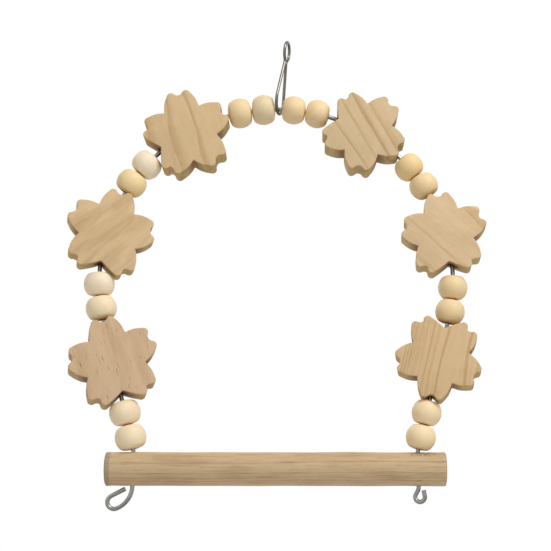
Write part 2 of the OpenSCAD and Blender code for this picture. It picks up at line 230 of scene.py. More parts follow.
class StageSettings(bpy.types.PropertyGroup):
    """Camera, lamps and floor"""

    camera_place: FloatVectorProperty(
        name="Camera place", description="Where the camera stands, seen from the hanging point",
        default=(0.0073, -0.5603, -0.2485), subtype="XYZ", unit="LENGTH")
    camera_yaw: angle("Camera yaw", "Turn of the camera to the left", 1.3275)
    camera_pitch: angle("Camera pitch", "How far the camera looks up", 13.452)
    camera_roll: angle("Camera roll", "Roll of the camera", -0.149)
    camera_lens: FloatProperty(name="Lens", description="Focal length in millimetres", default=81.64)
    floor_drop: length("Floor drop", "How far the floor lies below the swing", 110)
    floor_size: length("Floor size", "Width of the floor", 1400)
    floor_tint: colour("Floor", "Colour of the floor", (0.86, 0.86, 0.85))
    key_power: FloatProperty(name="Key lamp", description="Power of the key lamp in watts", default=5.0)
    fill_power: FloatProperty(name="Fill lamp", description="Power of the fill lamp in watts", default=0.8)
    back_power: FloatProperty(name="Back lamp", description="Power of the back lamp in watts", default=1.8)
    ambient: share("Ambient", "Strength of the light from all round", 0.31)
    ambient_tint: colour("Ambient colour", "Colour of that light", (1.0, 0.99, 0.97))


class BirdSwing(bpy.types.PropertyGroup):
    """All settings of the bird swing"""

    wire: PointerProperty(type=WireSizes)
    wood: PointerProperty(type=WoodSizes)
    finish: PointerProperty(type=Finishes)
    stage: PointerProperty(type=StageSettings)
    seed: IntProperty(name="Seed", description="Seed of the small differences between pieces", default=7)


def swing():
    return bpy.context.scene.bird_swing


# Mesh tools

DRILL_SIDES = 40
ROUND_STEPS = 4
SHARP = math.radians(60)
WELD = 0.001 * MM


def deselect():
    if bpy.context.object and bpy.context.object.mode != "OBJECT":
        bpy.ops.object.mode_set(mode="OBJECT")
    bpy.ops.object.select_all(action="DESELECT")


def only(piece):
    """Makes a piece the only selected one, and the active one."""
    deselect()
    piece.select_set(True)
    bpy.context.view_layer.objects.active = piece


def edit(piece):
    """Starts to edit the whole of a piece's mesh."""
    only(piece)
    bpy.ops.object.mode_set(mode="EDIT")
    bpy.ops.mesh.select_all(action="SELECT")


def done():
    bpy.ops.object.mode_set(mode="OBJECT")


def new_piece(name):
    """Names the primitive that was just added."""
    piece = bpy.context.object
    piece.name = name
    piece.data.name = name
    return piece


def draw(name, points, fill):
    """Starts to edit a closed line or a face through the points."""
    deselect()
    bpy.ops.mesh.primitive_circle_add(vertices=len(points), fill_type=fill, location=(0, 0, 0))
    piece = new_piece(name)
    for vertex, point in zip(piece.data.vertices, points):
        vertex.co = point
    edit(piece)
    return piece


def settle(piece):
    """Puts the piece's place into its mesh, so that its object sits at the origin."""
    only(piece)
    bpy.ops.object.transform_apply(location=True, rotation=True, scale=True)


def apply_modifier(piece, kind, **values):
    only(piece)
    modifier = piece.modifiers.new(kind.title(), kind)
    for name, value in values.items():
        setattr(modifier, name, value)
    bpy.ops.object.modifier_apply(modifier=modifier.name)


def drill(piece, start, end, diameter):
    """Cuts a round hole through a piece, from one point to another."""
    run = end - start
    deselect()
    bpy.ops.mesh.primitive_cylinder_add(
        vertices=DRILL_SIDES, radius=diameter / 2, depth=run.length,
        location=(start + end) / 2, rotation=run.to_track_quat("Z", "Y").to_euler())
    cutter = new_piece("cutter")
    cut_away(piece, cutter)


def cut_away(piece, cutter):
    apply_modifier(piece, "BOOLEAN", operation="DIFFERENCE", object=cutter, solver="EXACT")
    bpy.data.objects.remove(cutter)


def round_edges(piece, width):
    """Rounds the sharp edges."""
    apply_modifier(piece, "BEVEL", width=width, segments=ROUND_STEPS, limit_method="ANGLE", angle_limit=SHARP)


def smooth(piece, degrees):
    only(piece)
    bpy.ops.object.shade_smooth_by_angle(angle=math.radians(degrees))


def outward(piece):
    """Merges doubles and turns the faces outwards."""
    edit(piece)
    bpy.ops.mesh.remove_doubles(threshold=WELD)
    bpy.ops.mesh.normals_make_consistent(inside=False)
    done()


def finish_piece(piece, node, material):
    """The finished piece stands for a node and rides on its body."""
    piece.data.materials.clear()
    piece.data.materials.append(material)
    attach(piece, frame["nodes"][node]["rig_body"])
    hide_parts(node)


def facing(turn):
    """The direction at an angle in a plane."""
    return Vector((math.cos(turn), math.sin(turn)))


def basis(across, deep, along, place):
    """A matrix from three axes and a place."""
    turn = Matrix((across, deep, along)).transposed()
    return Matrix.Translation(place) @ turn.to_4x4()


# Places on the wire, from the joints

JOINTS = {joint["child"]: joint for joint in frame["joints"]}


def joint_place(body):
    return Vector(JOINTS[body]["pos_m"])


def joint_axis(body):
    return Vector(JOINTS[body]["axis"]).normalized()


def hoop_middle():
    """The middle of the hoop's arc."""
    wire = swing().wire
    place = wire.hook_shift / wire.arch_r
    return joint_place("swing") - wire.arch_r * Vector((math.sin(place), 0, math.cos(place)))


def hole_place(side):
    """Where the middle of a perch hole meets the top of the perch."""
    low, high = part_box("perch_dowel")
    return Vector(((low.x + high.x) / 2 + side * swing().wood.hole_span / 2, 0, high.z))


# Nodes of materials

class Nodes:
    """Adds nodes to a tree and links them."""

    def __init__(self, tree):
        self.tree = tree

    def add(self, kind, inputs=(), **settings):
        node = self.tree.nodes.new(kind)
        for name, value in settings.items():
            setattr(node, name, value)
        for socket, value in dict(inputs).items():
            if isinstance(value, bpy.types.NodeSocket):
                self.tree.links.new(value, node.inputs[socket])
            else:
                node.inputs[socket].default_value = value
        return node

    def math(self, operation, first, second=0.0):
        return self.add("ShaderNodeMath", {0: first, 1: second}, operation=operation).outputs[0]

    def plus(self, first, second):
        return self.math("ADD", first, second)

    def minus(self, first, second):
        return self.math("SUBTRACT", first, second)

    def times(self, first, second):
        return self.math("MULTIPLY", first, second)

    def sway(self, value, strength):
        """Noise moved so that it sways about zero."""
        return self.times(self.minus(value, 0.5), strength)

    def reach(self, first, second):
        """The distance from the axis that two coordinates leave out."""
        return self.math("SQRT", self.plus(self.times(first, first), self.times(second, second)))

    def step(self, value, low, high, to_low=0.0, to_high=1.0):
        """A smooth step between two values."""
        return self.add("ShaderNodeMapRange", {
            "Value": value, "From Min": low, "From Max": high, "To Min": to_low, "To Max": to_high,
        }, interpolation_type="SMOOTHSTEP").outputs[0]

    def within(self, place):
        """Millimetres in a frame of the piece's own."""
        return self.add("ShaderNodeMapping", {
            "Vector": self.add("ShaderNodeTexCoord").outputs["Object"], "Scale": (MM, MM, MM),
            "Location": place.to_translation(), "Rotation": place.to_euler(),
        }, vector_type="TEXTURE").outputs[0]

    def apart(self, vector):
        return self.add("ShaderNodeSeparateXYZ", {0: vector}).outputs

    def stretched(self, vector, scale, detail, offset):
        """Noise that is drawn out by a scale along each axis."""
        inputs = {"Vector": vector, "Scale": scale, "Location": offset}
        return self.add("ShaderNodeTexNoise", {
            "Vector": self.add("ShaderNodeMapping", inputs).outputs[0],
            "Scale": 1.0, "Detail": detail, "Roughness": 0.55,
        }).outputs[0]

    def noise_along(self, value, scale, detail):
        """Noise that changes along one value only."""
        inputs = {"W": value, "Scale": scale, "Detail": detail}
        return self.add("ShaderNodeTexNoise", inputs, noise_dimensions="1D").outputs[0]

    def mix(self, amount, first, second, kind="MIX"):
        inputs = {0: amount}
        for socket, value in ((6, first), (7, second)):
            inputs[socket] = value if isinstance(value, bpy.types.NodeSocket) else (*value[:3], 1.0)
        return self.add("ShaderNodeMix", inputs, data_type="RGBA", blend_type=kind).outputs[2]

    def bump(self, height, strength, distance, normal=None):
        inputs = {"Height": height, "Strength": strength, "Distance": distance}
        if normal:
            inputs["Normal"] = normal
        return self.add("ShaderNodeBump", inputs).outputs[0]


class Shade(Nodes):
    """The nodes of one material."""

    def __init__(self, name, roughness, metallic=0.0):
        self.material = bpy.data.materials.new(name)
        self.material.use_nodes = True
        super().__init__(self.material.node_tree)
        self.shader = self.tree.nodes["Principled BSDF"]
        self.shader.inputs["Roughness"].default_value = roughness
        self.shader.inputs["Metallic"].default_value = metallic

    def to(self, socket, value):
        self.tree.links.new(value, self.shader.inputs[socket])


def tinted(base, tint):
    return tuple(b * t for b, t in zip(base, tint))


# Patterns in wood: how fine each is across the fibres and along them, per millimetre
WANDER = (0.045, 0.045, 0.012)
FIBRES = (2.6, 2.6, 0.09)
MOTTLE = (1.3, 1.3, 0.5)
BLOTCHES = (0.16, 0.16, 0.035)
PORES = (1.9, 1.9, 0.17)
DASHES = (1.9, 1.9, 0.05)
SPECKS = (0.9, 1.6, 1.6)
SAW_MARKS = (2.2, 0.12, 2.2)
# How far the rings wander and how unevenly they follow, as shares of their spacing,
# how strong the faintest ring is, and the mottle's share of the fibres' strength
WANDER_SHARE = 2.2
UNEVEN_SHARE = 1.4
FAINTEST_SHARE = 0.15
MOTTLE_SHARE = 0.7
# Where in a year its late wood sets in, and where it ends
LATE = (0.45, 0.93)
YEAR_END = (1.0, 0.95)
# Between which values of its noise each pattern comes up; most values lie in the first
MOST = (0.3, 0.7)
STRONG_RING = (0.32, 0.62)
IN_BLOTCH = (0.42, 0.66)
IN_PORE = (0.70, 0.74)
IN_DASH = (0.56, 0.68)
IN_GROOVE = (0.6, 0.72)
IN_SPECK = (0.54, 0.58)
IN_SAW_MARK = (0.35, 0.65)
IN_CLOUD = (0.35, 0.7)
GRAIN_DEPTH = 0.12 * MM
PERCH_GRAIN = {"spacing": 1.9, "ring_share": 0.55, "blotch_share": 0.3375, "fibre_share": 0.85, "seed": 4.0}
BEAD_GRAIN = {"spacing": 2.4, "ring_share": 0.2, "blotch_share": 0.1575, "fibre_share": 0.25}
FLOWER_FIBRE_SHARE = 0.65
# The roughness where the fibres lie low, and where they stand high
PERCH_ROUGHNESS = (0.62, 0.82)
BEAD_ROUGHNESS = (0.5, 0.66)
FLOWER_ROUGHNESS = (0.62, 0.8)


def wood_colour(shade, grain, light, dark, spacing, ring_share, blotch_share, fibre_share, seed):
    """Solid wood whose fibres run along Z of its own frame and whose rings go round that axis."""
    x, y, _ = shade.apart(grain)
    wander = shade.stretched(grain, WANDER, detail=2.0, offset=(seed, 0, 0))
    reach = shade.plus(shade.reach(x, y), shade.sway(wander, spacing * WANDER_SHARE))
    years = shade.math("DIVIDE", reach, spacing)
    uneven = shade.noise_along(years, scale=0.6, detail=1.0)
    years = shade.plus(years, shade.times(uneven, UNEVEN_SHARE))
    ring = shade.math("FRACT", years)
    late = shade.times(shade.step(ring, *LATE), shade.step(ring, *YEAR_END))
    depth = shade.noise_along(years, scale=0.9, detail=0.0)
    late = shade.times(late, shade.step(depth, *STRONG_RING, to_low=FAINTEST_SHARE))
    fibre = shade.stretched(grain, FIBRES, detail=4.0, offset=(0, seed, 0))
    mottle = shade.stretched(grain, MOTTLE, detail=5.0, offset=(seed, seed, 0))
    blotch = shade.stretched(grain, BLOTCHES, detail=2.0, offset=(0, 0, seed))
    blotch = shade.times(shade.step(blotch, *IN_BLOTCH), blotch_share)
    darkness = shade.plus(shade.times(late, ring_share), blotch)
    for fine, strength in ((fibre, fibre_share), (mottle, fibre_share * MOTTLE_SHARE)):
        darkness = shade.plus(darkness, shade.sway(fine, strength))
    darkness = shade.add("ShaderNodeClamp", {0: darkness}).outputs[0]
    return shade.mix(darkness, light, dark), fibre


# Wire

WIRE_SIDES = 28
# The turn of one step round a bend, and round a bend of more than the long radius
SPIN_STEP = math.radians(9)
LONG_SPIN_STEP = math.radians(1.5)
LONG_R = 50 * MM
WIRE_WELD = 0.01 * MM
# A cut end's rim and dome, as shares of the wire's diameter
END_RIM_SHARE = 0.09
END_DOME_SHARE = 0.03
# How fine the wire's dull clouds and its drawing marks are, per metre
CLOUDS = 160.0
DRAWING_MARKS = 2600.0
DRAWING_DEPTH = 0.05 * MM


def bend_wire(name, wire_d, place, steps):
    """Draws a round wire along X of its place, step by step: straight, bend or roll."""
    deselect()
    across = place @ Matrix.Rotation(QUARTER_TURN, 4, "Y")
    bpy.ops.mesh.primitive_circle_add(
        vertices=WIRE_SIDES, radius=wire_d / 2, fill_type="NOTHING", enter_editmode=True,
        location=across.to_translation(), rotation=across.to_euler())
    piece = new_piece(name)
    at = place.copy()
    for kind, *sizes in steps:
        heading = at.to_3x3().col[0]
        if kind == "roll":
            at = at @ Matrix.Rotation(sizes[0], 4, "X")
        elif kind == "straight":
            bpy.ops.mesh.extrude_region_move(TRANSFORM_OT_translate={"value": heading * sizes[0]})
            at = at @ Matrix.Translation((sizes[0], 0, 0))
        else:
            radius, turn = sizes
            side = math.copysign(radius, turn)
            middle = at @ Vector((0, side, 0))
            step = LONG_SPIN_STEP if radius > LONG_R else SPIN_STEP
            count = max(2, math.ceil(abs(turn) / step))
            bpy.ops.mesh.spin(steps=count, angle=-turn, center=middle, axis=at.to_3x3().col[2])
            at = (at @ Matrix.Translation((0, side, 0)) @ Matrix.Rotation(turn, 4, "Z")
                  @ Matrix.Translation((0, -side, 0)))
    done()
    return piece


def close_wire(piece, wire_d):
    """Closes the wire's two cut ends and rounds them a little."""
    edit(piece)
    bpy.ops.mesh.remove_doubles(threshold=WIRE_WELD)
    bpy.ops.mesh.fill_holes(sides=0)
    bpy.ops.mesh.normals_make_consistent(inside=False)
    bpy.ops.mesh.select_all(action="DESELECT")
    done()
    # Only the two cut ends have more than four corners
    for face in piece.data.polygons:
        face.select = len(face.vertices) > 4
    bpy.ops.object.mode_set(mode="EDIT")
    bpy.ops.mesh.inset(thickness=wire_d * END_RIM_SHARE)
    bpy.ops.transform.shrink_fatten(value=-wire_d * END_DOME_SHARE)
    done()


def bend_halves(name, wire_d, top, up, sideways, chains):
    """Bends the two halves of a wire from its top and joins them into one piece."""
    halves = []
    for side, steps in chains.items():
        heading = side * sideways
        place = basis(heading, up, heading.cross(up), top)
        halves.append(bend_wire(name, wire_d, place, steps))
    piece, other = halves
    only(piece)
    other.select_set(True)
    bpy.ops.object.join()
    close_wire(piece, wire_d)
    settle(piece)
    smooth(piece, degrees=40)
    return piece


def wire_finish(name, tint, roughness, tarnish):
    shade = Shade(name, roughness, metallic=1.0)
    place = shade.add("ShaderNodeTexCoord").outputs["Object"]
    cloud = shade.add("ShaderNodeTexNoise", {"Vector": place, "Scale": CLOUDS, "Detail": 3.0}).outputs[0]
    marks = {"Vector": place, "Scale": DRAWING_MARKS, "Detail": 2.0}
    fine = shade.add("ShaderNodeTexNoise", marks).outputs[0]
    dull = tinted(tint, 3 * [1 - tarnish])
    shade.to("Base Color", shade.mix(shade.step(cloud, *IN_CLOUD), tint, dull))
    shade.to("Roughness", shade.step(fine, *MOST, roughness, roughness + 0.12))
    shade.to("Normal", shade.bump(fine, strength=0.12, distance=DRAWING_DEPTH))
    return shade.material


class SWING_OT_hoop_wire(bpy.types.Operator):
    """Bend the hoop: the arc, the legs, the knees and the two eyes under the perch"""

    bl_idname = "swing.hoop_wire"
    bl_label = "Hoop Wire"

    def last_strand(self, wire, turn, bends):
        """The straight end of an eye stops short of the perch and of the wire beside it."""
        depth = aside = heading = 0.0
        for kind, *sizes in bends:
            if kind == "straight":
                depth += sizes[0] * math.cos(heading)
                aside += sizes[0] * math.sin(heading)
            elif kind == "bend":
                radius, bent = math.copysign(sizes[0], sizes[1]), sizes[1]
                depth += radius * (math.sin(heading + bent) - math.sin(heading))
                aside += radius * (math.cos(heading) - math.cos(heading + bent))
                heading += bent
        to_perch = (depth - wire.wire_d / 2 - wire.eye_gap) / -math.cos(turn)
        to_wire = (aside - wire.wire_d - wire.eye_gap) / -math.sin(turn)
        return ("straight", min(to_perch, to_wire))

    def eye_steps(self, side, wire):
        if side > 0:
            turn = wire.right_eye_angle - wire.right_neck_angle
            bends = [
                ("roll", wire.right_eye_turn),
                ("bend", wire.right_neck_r, -wire.right_neck_angle),
                ("straight", wire.right_neck_len),
                ("bend", wire.right_eye_r, wire.right_eye_angle),
            ]
        else:
            turn = wire.left_sweep_angle + wire.left_tip_angle
            bends = [
                ("bend", wire.left_sweep_r, wire.left_sweep_angle),
                ("bend", wire.left_tip_r, wire.left_tip_angle),
            ]
        return [*bends, self.last_strand(wire, turn, bends)]

    def side_steps(self, side, wire, middle):
        hole = hole_place(side)
        out = abs(hole.x - middle.x)
        down = middle.z - hole.z - wire.knee_rise
        away = math.hypot(out, down)
        turn = QUARTER_TURN + math.atan2(down, out) - math.acos(wire.arch_r / away)
        knee = turn - QUARTER_TURN
        cut = wire.knee_r * math.tan(knee / 2)
        low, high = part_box("perch_dowel")
        return [
            ("bend", wire.arch_r, -turn),
            ("straight", math.sqrt(away ** 2 - wire.arch_r ** 2) - cut),
            ("bend", wire.knee_r, knee),
            ("straight", high.z - low.z + wire.knee_rise - cut),
            *self.eye_steps(side, wire),
        ]

    def execute(self, context):
        wire = swing().wire
        middle = hoop_middle()
        chains = {side: self.side_steps(side, wire, middle) for side in SIDES}
        piece = bend_halves("bent_hoop", wire.wire_d, middle + wire.arch_r * UP, UP, RIGHT, chains)
        material = wire_finish("drawn steel", swing().finish.steel, roughness=0.17, tarnish=0.3)
        finish_piece(piece, "hoop_wire", material)
        return {"FINISHED"}


class SWING_OT_hanging_hook(bpy.types.Operator):
    """Bend the hook: bow, waist, mouth and the long eye round the hoop wire"""

    bl_idname = "swing.hanging_hook"
    bl_label = "Hanging Hook"

    def execute(self, context):
        wire = swing().wire
        bow_up = wire.hook_h - wire.hook_wire_d / 2 - wire.bow_r
        eye_up = wire.eye_r - wire.wire_d / 2 - wire.eye_clearance - wire.hook_wire_d / 2
        waist_out = wire.waist_w / 2 + wire.waist_r
        waist_up = bow_up - math.sqrt((wire.bow_r + wire.waist_r) ** 2 - waist_out ** 2)
        waist_angle = math.atan2(waist_up - bow_up, waist_out)
        reach = math.hypot(waist_out, waist_up - eye_up)
        lean = math.asin((wire.eye_r + wire.waist_r) / reach) - math.atan2(waist_out, waist_up - eye_up)
        strand = ("straight", math.sqrt(reach ** 2 - (wire.eye_r + wire.waist_r) ** 2))
        waist_turn = lean - waist_angle
        to_mouth = (waist_turn - wire.mouth_angle) / 2
        bow = ("bend", wire.bow_r, waist_angle - QUARTER_TURN)
        chains = {
            1: [bow, ("bend", wire.waist_r, to_mouth)],
            -1: [
                bow,
                ("bend", wire.waist_r, waist_turn),
                strand,
                ("bend", wire.eye_r, -HALF_TURN - 2 * lean),
                strand,
                ("bend", wire.waist_r, to_mouth),
            ],
        }
        stand = (Matrix.Translation(joint_place("swing")) @ Matrix.Rotation(wire.hook_lean, 4, "Y")
                 @ Matrix.Rotation(QUARTER_TURN - wire.hook_turn, 4, "Z"))
        turn = stand.to_3x3()
        top = stand @ Vector((0, 0, bow_up + wire.bow_r))
        piece = bend_halves("bent_hook", wire.hook_wire_d, top, turn @ UP, turn @ RIGHT, chains)
        material = wire_finish("nickel plate", swing().finish.nickel, roughness=0.2, tarnish=0.12)
        finish_piece(piece, "hanging_hook", material)
        return {"FINISHED"}


# The dowel's faces round it and lengths along it, and how far its skin wanders
DOWEL_SIDES = 96
DOWEL_LENGTHS = 48
SKIN_DEPTH = 0.22 * MM
SKIN_ALONG = 45
SKIN_ROUND = 130
SKIN_LOSS = 0.35
# Chips by the right hole: how many, and between which angles from the dowel's top, in degrees
CHIPS = ((6, (20, 48)), (3, (118, 150)))
CHIP_PLACE = (-4 * MM, 7 * MM)
CHIP_HALF_LEN = (0.5 * MM, 1.5 * MM)
CHIP_DEPTH = 0.3 * MM
# The slope of the grain along the dowel, and the heart of its tree, in metres from its middle
DOWEL_SLOPE = 0.012
DOWEL_HEART = Vector((0, 0.006, -0.021))
# In millimetres from the dowel's end, hole or top: where each finish, and the painted shadow at the left end,
# begins and is full
PAINTED_END_SHADOW = (2.8, 1.8)
END_RIM = (0.5, 0.1)
TORN_ASIDE = (7.5, 5.0)
TORN_DOWN = (2.6, 1.4)
TORN_SHIFT = 1.0


class SWING_OT_perch(bpy.types.Operator):
    """Turn the perch: a dowel with two drilled holes and a few torn fibres"""

    bl_idname = "swing.perch"
    bl_label = "Perch"

    def execute(self, context):
        wood, wire = swing().wood, swing().wire
        low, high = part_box("perch_dowel")
        middle = (low + high) / 2
        perch_d, perch_len = high.z - low.z, high.x - low.x
        deselect()
        bpy.ops.mesh.primitive_cylinder_add(
            vertices=DOWEL_SIDES, radius=perch_d / 2, depth=perch_len, end_fill_type="NGON",
            location=middle, rotation=(0, QUARTER_TURN, 0))
        piece = new_piece("turned_perch")
        settle(piece)
        round_edges(piece, wood.perch_round)
        self.lengths(piece, low.x, high.x)
        self.uneven(piece, middle, perch_d / 2, perch_len / 2)
        hole_d = wire.wire_d + wood.hole_clearance
        for side in SIDES:
            top = hole_place(side)
            drill(piece, top + UP * perch_d, top - UP * 2 * perch_d, hole_d)
        self.torn_fibres(piece, perch_d)
        smooth(piece, degrees=38)
        finish_piece(piece, "perch_dowel", self.finish(middle, perch_d, perch_len))
        return {"FINISHED"}

    def lengths(self, piece, start, end):
        """Cuts the dowel's skin into lengths, so that it can be uneven."""
        edit(piece)
        for i in range(1, DOWEL_LENGTHS):
            cut = start + (end - start) * i / DOWEL_LENGTHS
            bpy.ops.mesh.select_all(action="SELECT")
            bpy.ops.mesh.bisect(plane_co=(cut, 0, 0), plane_no=RIGHT)
        done()

    def uneven(self, piece, middle, radius, half):
        """A turned dowel is never quite straight or round."""
        for vertex in piece.data.vertices:
            x, y, z = vertex.co - middle
            if abs(x) > half - swing().wood.perch_round * 2:
                continue
            bump = noise.noise(Vector((x * SKIN_ALONG, y * SKIN_ROUND, z * SKIN_ROUND + 3))) - SKIN_LOSS
            vertex.co += Vector((0, y, z)) / radius * SKIN_DEPTH * bump

    def torn_fibres(self, piece, perch_d):
        """Small chips that the drill tore out by the right hole."""
        chips = random.Random(swing().seed)
        hole = hole_place(1) - UP * perch_d / 2
        for band in [band for count, band in CHIPS for _ in range(count)]:
            turn = math.radians(chips.uniform(*band))
            out = Vector((0, -math.sin(turn), math.cos(turn)))
            place = hole - RIGHT * chips.uniform(*CHIP_PLACE) + out * perch_d / 2
            deselect()
            bpy.ops.mesh.primitive_ico_sphere_add(subdivisions=2, radius=1, location=place)
            cutter = new_piece("chip")
            cutter.scale = (chips.uniform(*CHIP_HALF_LEN), CHIP_DEPTH, CHIP_DEPTH)
            settle(cutter)
            cut_away(piece, cutter)

    def finish(self, middle, perch_d, perch_len):
        tint = swing().finish
        shade = Shade("dowel wood", roughness=0.72)
        along = Vector((1, 0, DOWEL_SLOPE)).normalized()
        grain = shade.within(basis(BACK, along.cross(BACK), along, middle + DOWEL_HEART))
        own = shade.within(basis(RIGHT, BACK, UP, middle))
        x, _, z = shade.apart(own)
        tone, fibre = wood_colour(shade, grain, tint.perch_light, tint.perch_dark, **PERCH_GRAIN)
        dashes = shade.stretched(grain, DASHES, detail=3.0, offset=(9, 2, 0))
        tone = shade.mix(shade.step(dashes, *IN_DASH, to_high=0.7), tone, tint.perch_dark)
        # A painted shadow greys the left end, and the drill tore dark specks by the right hole
        half, top, hole = perch_len / 2 / MM, perch_d / 2 / MM, swing().wood.hole_span / 2 / MM
        painted_end_shadow = shade.step(x, PAINTED_END_SHADOW[0] - half, PAINTED_END_SHADOW[1] - half, to_high=0.6)
        tone = shade.mix(painted_end_shadow, tone, tint.painted_end_shadow)
        aside = shade.math("ABSOLUTE", shade.minus(x, hole + TORN_SHIFT))
        down = shade.step(z, top - TORN_DOWN[0], top - TORN_DOWN[1])
        torn = shade.times(shade.step(aside, *TORN_ASIDE), down)
        specks = shade.stretched(own, SPECKS, detail=2.0, offset=(4, 0, 0))
        tone = shade.mix(shade.times(torn, shade.step(specks, *IN_SPECK)), tone, tint.torn)
        end = shade.step(shade.math("ABSOLUTE", x), half - END_RIM[0], half - END_RIM[1])
        tone = shade.mix(end, tone, shade.mix(1.0, tone, tint.end_grain, "MULTIPLY"))
        shade.to("Base Color", tone)
        height = shade.minus(fibre, shade.times(shade.step(dashes, *IN_GROOVE), 1.2))
        shade.to("Normal", shade.bump(height, strength=0.5, distance=GRAIN_DEPTH))
        shade.to("Roughness", shade.step(fibre, *MOST, *PERCH_ROUGHNESS))
        return shade.material


BEAD_SIDES = 64
DOME_STEPS, RIM_STEPS, BELLY_STEPS = 6, 7, 12
BORE_LIP = 0.25 * MM
# The heart of a bead's tree, in metres from the bead, and how its grain leans and turns, in radians
BEAD_HEART = (0.03, 0.012, 0)
BEAD_LEAN = (-0.5, 0.5)
BEAD_TURN = (0, 6)
TURNING_DEPTH = 0.08 * MM
# The painted shade inside a bore's mouth begins and is full this far outside its wall, in millimetres
PAINTED_BORE_SHADE = (0.15, -0.05)


class SWING_OT_beads(bpy.types.Operator):
    """Turn the beads: a domed end, a rounded rim, a full belly and a bore"""

    bl_idname = "swing.beads"
    bl_label = "Beads"

    def profile(self, wood, bead_d):
        """The bead's section on one side, from one mouth of the bore to the other."""
        r, half, end_r = bead_d / 2, wood.bead_len / 2, wood.bead_end_r
        bore, rim = wood.bead_bore_d / 2, wood.bead_rim
        back = end_r - half
        # A circle of the rim's radius that touches both the belly and the dome from inside
        inner_belly, inner_dome = r - rim, end_r - rim
        up = (inner_dome ** 2 - inner_belly ** 2 - back ** 2) / (2 * back)
        out = math.sqrt(inner_belly ** 2 - up ** 2)
        on_belly = math.atan2(out, up)
        on_dome = math.atan2(out, up + back)
        start = math.asin((bore + BORE_LIP) / end_r)
        points = [(bore, 0.0), (bore, end_r * math.cos(start) - back - BORE_LIP)]
        arcs = (
            (0, -back, end_r, start, on_dome, DOME_STEPS, 0),
            (out, up, rim, on_dome, on_belly, RIM_STEPS, 0),
            (0, 0, r, on_belly, QUARTER_TURN, BELLY_STEPS, 1),
        )
        for x, z, radius, first, last, steps, closing in arcs:
            for i in range(steps + closing):
                turn = first + (last - first) * i / steps
                points.append((x + radius * math.sin(turn), z + radius * math.cos(turn)))
        return points + [(x, -z) for x, z in reversed(points[1:-1])]

    def turned(self, wood, bead_d):
        """One bead about Z, spun from its section."""
        section = [(x, 0, z) for x, z in self.profile(wood, bead_d)]
        piece = draw("turned_bead", section, "NOTHING")
        bpy.ops.mesh.spin(steps=BEAD_SIDES, angle=FULL_TURN, center=(0, 0, 0), axis=UP)
        outward(piece)
        smooth(piece, degrees=35)
        return piece

    def execute(self, context):
        wood = swing().wood
        small = random.Random(swing().seed)
        for side, size in (("left", wood.left_size), ("right", 1)):
            model = self.turned(wood, wood.bead_d * size)
            for i, kind in enumerate(BEAD_SHADES[side]):
                node = f"bead_{side}_{i + 1}"
                only(model)
                bpy.ops.object.duplicate()
                piece = new_piece(f"turned_{node}")
                axis = joint_axis(node)
                place = basis(axis.cross(BACK), BACK, axis, joint_place(node))
                piece.matrix_world = place @ Matrix.Rotation(small.uniform(*BEAD_TURN), 4, "Z")
                settle(piece)
                finish_piece(piece, node, self.finish(node, place, SHADES[kind], small))
            bpy.data.objects.remove(model)
        return {"FINISHED"}

    def finish(self, node, place, tint, small):
        finish = swing().finish
        shade = Shade(f"{node} wood", roughness=0.55)
        leans = [Matrix.Rotation(small.uniform(*BEAD_LEAN), 4, axis) for axis in "XY"]
        turn = Matrix.Rotation(small.uniform(*BEAD_TURN), 4, "Z")
        grain = shade.within(place @ turn @ leans[0] @ leans[1] @ Matrix.Translation(BEAD_HEART))
        light, dark = tinted(finish.bead_light, tint), tinted(finish.bead_dark, tint)
        tone, fibre = wood_colour(shade, grain, light, dark, seed=small.uniform(0, 90), **BEAD_GRAIN)
        x, y, z = shade.apart(shade.within(place))
        bore = swing().wood.bead_bore_d / 2 / MM
        # Painted shade darkens the bead inside its bore's mouth
        mouth = shade.step(shade.reach(x, y), bore + PAINTED_BORE_SHADE[0], bore + PAINTED_BORE_SHADE[1])
        shade.to("Base Color", shade.mix(mouth, tone, finish.bore))
        turning = shade.noise_along(z, scale=5.0, detail=2.0)
        normal = shade.bump(turning, strength=0.08, distance=TURNING_DEPTH)
        shade.to("Normal", shade.bump(fibre, strength=0.12, distance=TURNING_DEPTH, normal=normal))
        shade.to("Roughness", shade.step(fibre, *MOST, *BEAD_ROUGHNESS))
        return shade.material


SIDE_STEPS, CORNER_STEPS, NOTCH_STEPS = 12, 12, 6
# How far the saw strays, as a share of the outline, how often, per metre, and the
# distance in its noise from one flower to the next
STRAY_SHARE = 0.01
STRAYS = 70
STRAY_STEP = 3.7
DRILL_REACH_SHARE = 1.2
# In millimetres from the face, and out from the valleys: where a finish, and the valleys' saw scorch with
# painted shade, begins and is full
SAWN_FROM = (0.15, 0.55)
SCORCHED_AND_SHADED_FROM = (4.5, 0.5)
SAW_DEPTH = 0.25 * MM
SAW_MARK_SHARE = 0.72


